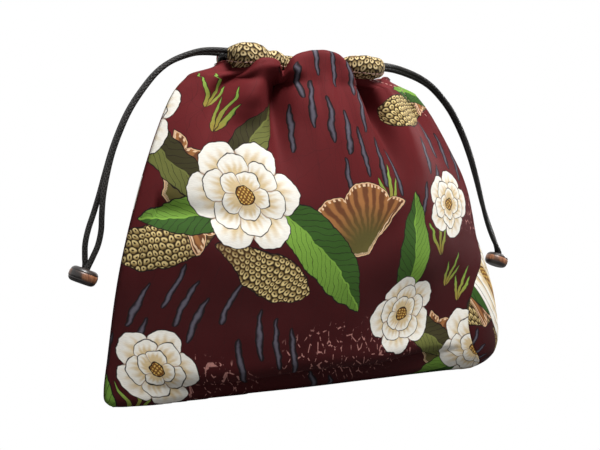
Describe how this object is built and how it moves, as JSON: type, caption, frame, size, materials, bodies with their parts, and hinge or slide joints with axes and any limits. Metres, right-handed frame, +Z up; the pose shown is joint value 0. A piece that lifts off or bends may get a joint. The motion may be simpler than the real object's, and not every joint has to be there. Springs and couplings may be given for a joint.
{
  "type": "kinchaku drawstring pouch",
  "caption": "Gathered cloth drawstring pouch that stands on its base, with a casing on each panel, dark cords and a turned wooden bead on each pair of tails.",
  "frame": {"origin": "on the surface that the pouch stands on, under the middle of the cloth body", "axes": "+X to the pouch's right as seen from its front, -Y towards its front, +Z up"},
  "size_m": [0.2904, 0.0667, 0.1968],
  "materials": {
    "printed_cloth": "matte woven cotton, burgundy with a printed pattern",
    "casing_cloth": "matte woven cotton, the same cloth with gold print",
    "waxed_cord": "round waxed cord, charcoal with a soft shine",
    "dark_wood": "turned wood, dark brown with a tan side"
  },
  "bodies": {
    "root": {"front_panel": "printed_cloth", "back_panel": "printed_cloth", "front_casing": "casing_cloth", "back_casing": "casing_cloth", "left_cord": "waxed_cord", "right_cord": "waxed_cord", "left_stopper": "dark_wood", "right_stopper": "dark_wood"}
  },
  "joints": []
}
